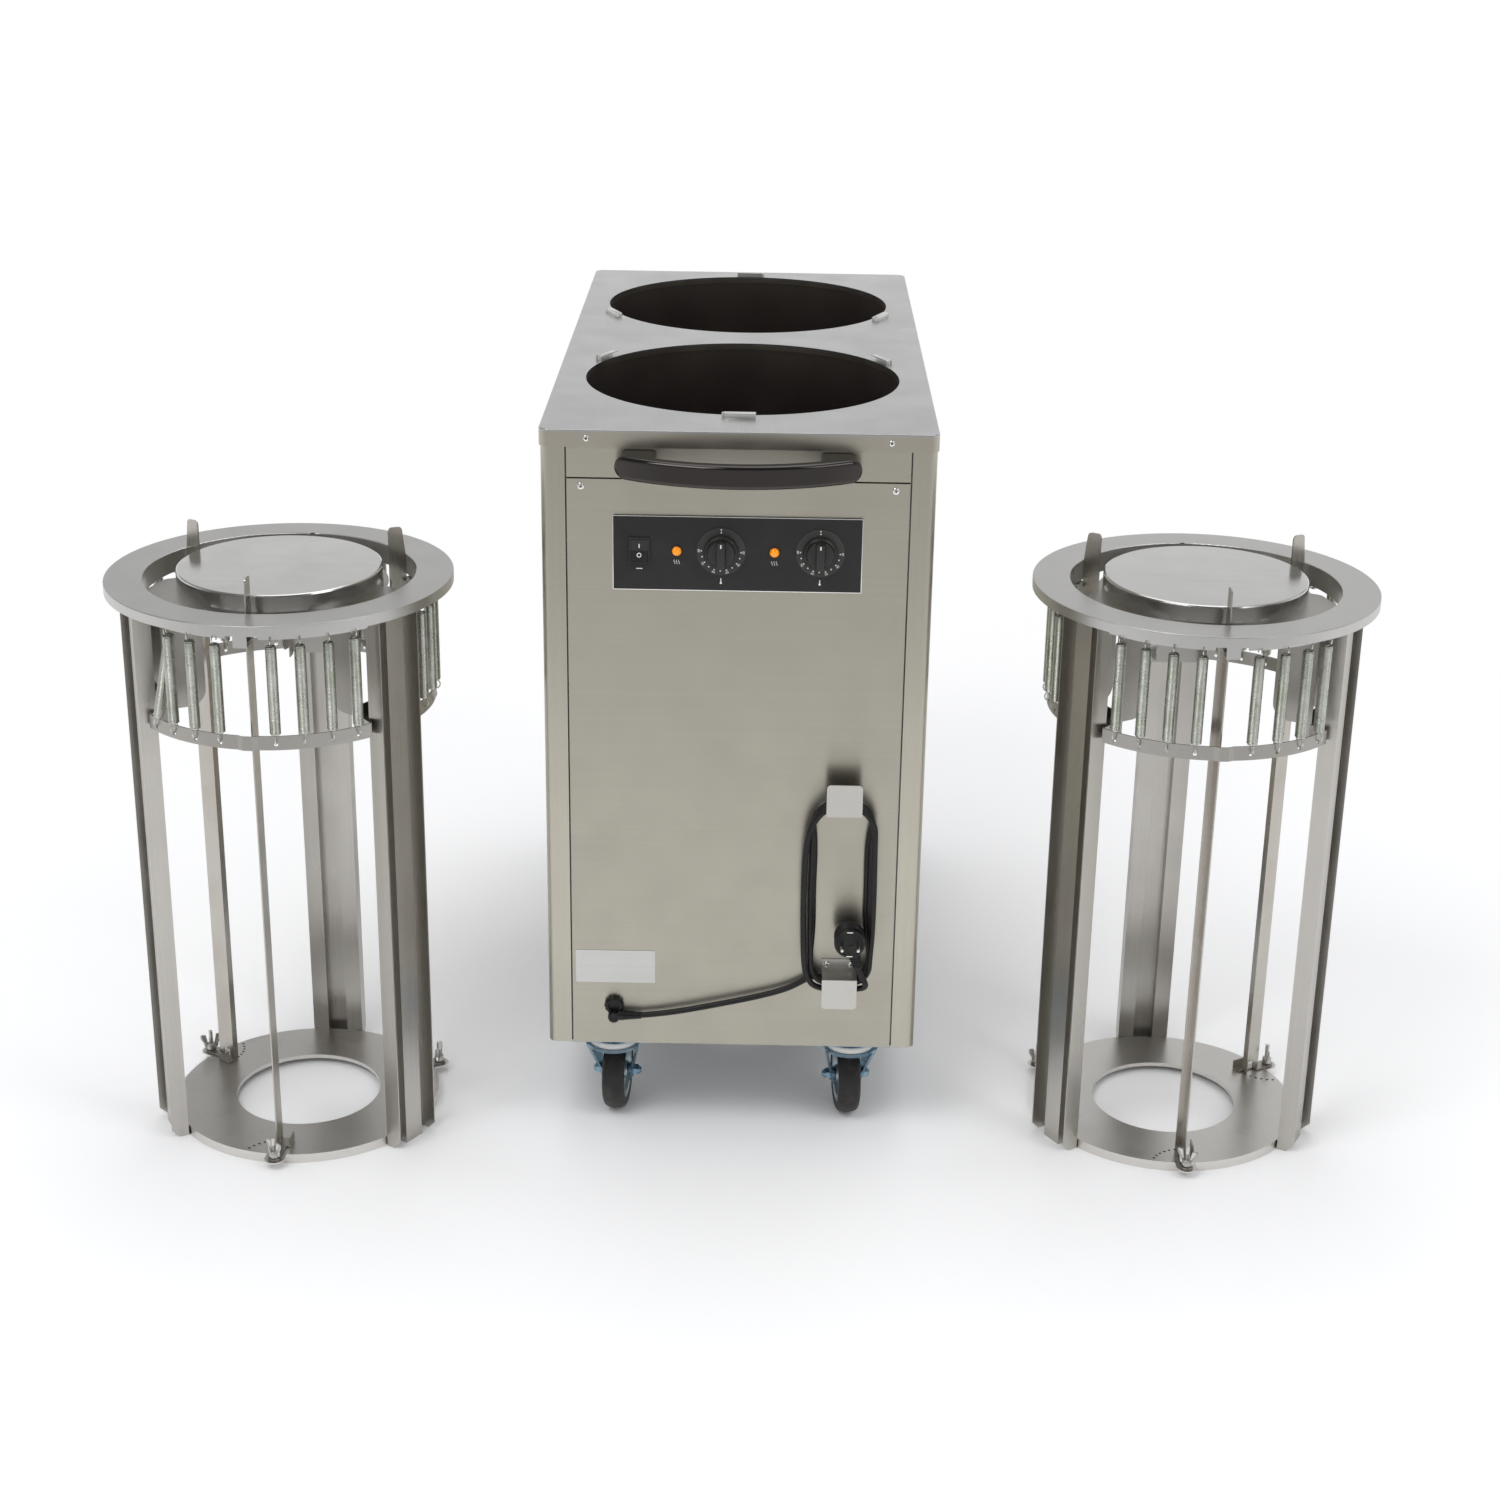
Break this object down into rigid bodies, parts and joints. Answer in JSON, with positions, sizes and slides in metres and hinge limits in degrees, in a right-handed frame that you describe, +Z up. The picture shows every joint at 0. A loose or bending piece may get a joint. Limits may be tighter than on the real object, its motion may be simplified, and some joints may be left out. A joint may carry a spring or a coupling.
{
  "type": "plate dispenser cart",
  "caption": "Heated stainless steel plate dispenser cart with deck wells, bow handle, controls and wound mains cord; its sprung plate lifters stand beside it.",
  "frame": {"origin": "on the floor, under the middle of the bounding box of the whole set: cart and both lifters", "axes": "+Z up; -Y towards the cart's control side, where handle, controls and cord are; +Y to the cart's back; +X to the right as seen from the control side"},
  "size_m": [1.494, 1.065, 0.902],
  "materials": {
    "deck_steel": "fine brushed along the deck",
    "body_steel": "vertically brushed",
    "inner_steel": "galvanised, dull",
    "thermostat_body": "dull",
    "liner_steel": "dull, dark inside",
    "element_steel": "dark oxidised",
    "clip_steel": "bright",
    "fastener_steel": "bright",
    "panel_black": "satin black",
    "dial_print": "black with pale print",
    "lamp_amber": "translucent amber",
    "switch_black": "moulded",
    "rocker_black": "moulded",
    "knob_black": "moulded",
    "handle_black": "smooth",
    "hook_steel": "satin",
    "gland_black": "moulded",
    "cord_black": "satin",
    "plug_black": "moulded",
    "pin_plating": "bright",
    "plate_aluminium": "satin, bare",
    "castor_zinc": "blue zinc plated",
    "tyre_rubber": "smooth tread",
    "lifter_steel": "brushed, half mirror",
    "platform_steel": "brushed, half mirror",
    "guide_steel": "brushed",
    "spring_zinc": "zinc plated, slightly yellow"
  },
  "bodies": {
    "cart": {"back_panel": "body_steel", "bottom_pan": "inner_steel", "cable_gland": "gland_black", "castor_plates": "castor_zinc", "control_box": "inner_steel", "control_panel": "panel_black", "cord_hooks": "hook_steel", "cord_lead": "cord_black", "cord_winding": "cord_black", "deck": "deck_steel", "dial_rings": "dial_print", "fasteners": "fastener_steel", "front_panel": "body_steel", "front_top_strip": "body_steel", "handle": "handle_black", "heating_elements": "element_steel", "indicator_lamps": "lamp_amber", "inner_frame": "inner_steel", "plug": "plug_black", "plug_pins": "pin_plating", "rating_plate": "plate_aluminium", "rim_clips": "clip_steel", "side_panel_left": "body_steel", "side_panel_right": "body_steel", "switch_housing": "switch_black", "thermostats": "thermostat_body", "well_liners": "liner_steel"},
    "swivel_front_left": {"castor_fork_front_left": "castor_zinc"},
    "wheel_front_left": {"castor_wheel_front_left": "castor_zinc", "castor_tyre_front_left": "tyre_rubber"},
    "swivel_front_right": {"castor_fork_front_right": "castor_zinc"},
    "wheel_front_right": {"castor_wheel_front_right": "castor_zinc", "castor_tyre_front_right": "tyre_rubber"},
    "swivel_back_left": {"castor_fork_back_left": "castor_zinc"},
    "wheel_back_left": {"castor_wheel_back_left": "castor_zinc", "castor_tyre_back_left": "tyre_rubber"},
    "swivel_back_right": {"castor_fork_back_right": "castor_zinc"},
    "wheel_back_right": {"castor_wheel_back_right": "castor_zinc", "castor_tyre_back_right": "tyre_rubber"},
    "knob_left": {"knob_left": "knob_black"},
    "knob_right": {"knob_right": "knob_black"},
    "switch_rocker": {"switch_rocker": "rocker_black"},
    "left_lifter": {"left_flange": "lifter_steel", "left_rails": "lifter_steel", "left_base_ring": "lifter_steel", "left_springs": "spring_zinc"},
    "left_carrier": {"left_carrier": "lifter_steel", "left_platform": "platform_steel"},
    "left_guide_1": {"left_guide_1": "guide_steel"},
    "left_guide_2": {"left_guide_2": "guide_steel"},
    "left_guide_3": {"left_guide_3": "guide_steel"},
    "right_lifter": {"right_flange": "lifter_steel", "right_rails": "lifter_steel", "right_base_ring": "lifter_steel", "right_springs": "spring_zinc"},
    "right_carrier": {"right_carrier": "lifter_steel", "right_platform": "platform_steel"},
    "right_guide_1": {"right_guide_1": "guide_steel"},
    "right_guide_2": {"right_guide_2": "guide_steel"},
    "right_guide_3": {"right_guide_3": "guide_steel"}
  },
  "joints": [
    {"name": "swivel_front_left_turn", "type": "hinge", "parent": "cart", "child": "swivel_front_left", "pos_m": [-0.15335, -0.36045, 0.1], "axis": [0, 0, 1], "continuous": true},
    {"name": "wheel_front_left_roll", "type": "hinge", "parent": "swivel_front_left", "child": "wheel_front_left", "pos_m": [-0.15074, -0.33056, 0.05], "axis": [0.9962, -0.0872, 0], "continuous": true},
    {"name": "swivel_front_right_turn", "type": "hinge", "parent": "cart", "child": "swivel_front_right", "pos_m": [0.14065, -0.36045, 0.1], "axis": [0, 0, 1], "continuous": true},
    {"name": "wheel_front_right_roll", "type": "hinge", "parent": "swivel_front_right", "child": "wheel_front_right", "pos_m": [0.13751, -0.33061, 0.05], "axis": [0.9945, 0.1045, 0], "continuous": true},
    {"name": "swivel_back_left_turn", "type": "hinge", "parent": "cart", "child": "swivel_back_left", "pos_m": [-0.15335, 0.48355, 0.1], "axis": [0, 0, 1], "continuous": true},
    {"name": "wheel_back_left_roll", "type": "hinge", "parent": "swivel_back_left", "child": "wheel_back_left", "pos_m": [-0.15126, 0.45362, 0.05], "axis": [-0.9976, -0.0698, 0], "continuous": true},
    {"name": "swivel_back_right_turn", "type": "hinge", "parent": "cart", "child": "swivel_back_right", "pos_m": [0.14065, 0.48355, 0.1], "axis": [0, 0, 1], "continuous": true},
    {"name": "wheel_back_right_roll", "type": "hinge", "parent": "swivel_back_right", "child": "wheel_back_right", "pos_m": [0.13596, 0.45392, 0.05], "axis": [-0.9877, 0.1564, 0], "continuous": true},
    {"name": "knob_left_turn", "type": "hinge", "parent": "cart", "child": "knob_left", "pos_m": [-0.02495, -0.42055, 0.758], "axis": [0, 1, 0], "range_deg": [0, 300]},
    {"name": "knob_right_turn", "type": "hinge", "parent": "cart", "child": "knob_right", "pos_m": [0.08775, -0.42055, 0.758], "axis": [0, 1, 0], "range_deg": [0, 300]},
    {"name": "switch_rocker_tip", "type": "hinge", "parent": "cart", "child": "switch_rocker", "pos_m": [-0.11795, -0.40975, 0.758], "axis": [1, 0, 0], "range_deg": [0, 18]},
    {"name": "left_lifter_lift", "type": "slide", "parent": "cart", "child": "left_lifter", "axis": [0, 0, 1], "range_m": [0, 0.95]},
    {"name": "left_carrier_slide", "type": "slide", "parent": "left_lifter", "child": "left_carrier", "axis": [0, 0, 1], "range_m": [-0.48, 0], "stiffness_N_per_m": 600, "springref_m": 0.1, "deforming": ["left_springs"]},
    {"name": "left_guide_1_turn", "type": "hinge", "parent": "left_lifter", "child": "left_guide_1", "pos_m": [-0.68894, -0.23306, 0.35], "axis": [0, 0, 1], "range_deg": [0, 30]},
    {"name": "left_guide_2_turn", "type": "hinge", "parent": "left_lifter", "child": "left_guide_2", "pos_m": [-0.55588, -0.50347, 0.35], "axis": [0, 0, 1], "range_deg": [0, 30]},
    {"name": "left_guide_3_turn", "type": "hinge", "parent": "left_lifter", "child": "left_guide_3", "pos_m": [-0.38823, -0.25303, 0.35], "axis": [0, 0, 1], "range_deg": [0, 30]},
    {"name": "right_lifter_lift", "type": "slide", "parent": "cart", "child": "right_lifter", "axis": [0, 0, 1], "range_m": [0, 0.95]},
    {"name": "right_carrier_slide", "type": "slide", "parent": "right_lifter", "child": "right_carrier", "axis": [0, 0, 1], "range_m": [-0.48, 0], "stiffness_N_per_m": 600, "springref_m": 0.1, "deforming": ["right_springs"]},
    {"name": "right_guide_1_turn", "type": "hinge", "parent": "right_lifter", "child": "right_guide_1", "pos_m": [0.39129, -0.22619, 0.35], "axis": [0, 0, 1], "range_deg": [0, 30]},
    {"name": "right_guide_2_turn", "type": "hinge", "parent": "right_lifter", "child": "right_guide_2", "pos_m": [0.54921, -0.48288, 0.35], "axis": [0, 0, 1], "range_deg": [0, 30]},
    {"name": "right_guide_3_turn", "type": "hinge", "parent": "right_lifter", "child": "right_guide_3", "pos_m": [0.69255, -0.21778, 0.35], "axis": [0, 0, 1], "range_deg": [0, 30]}
  ]
}
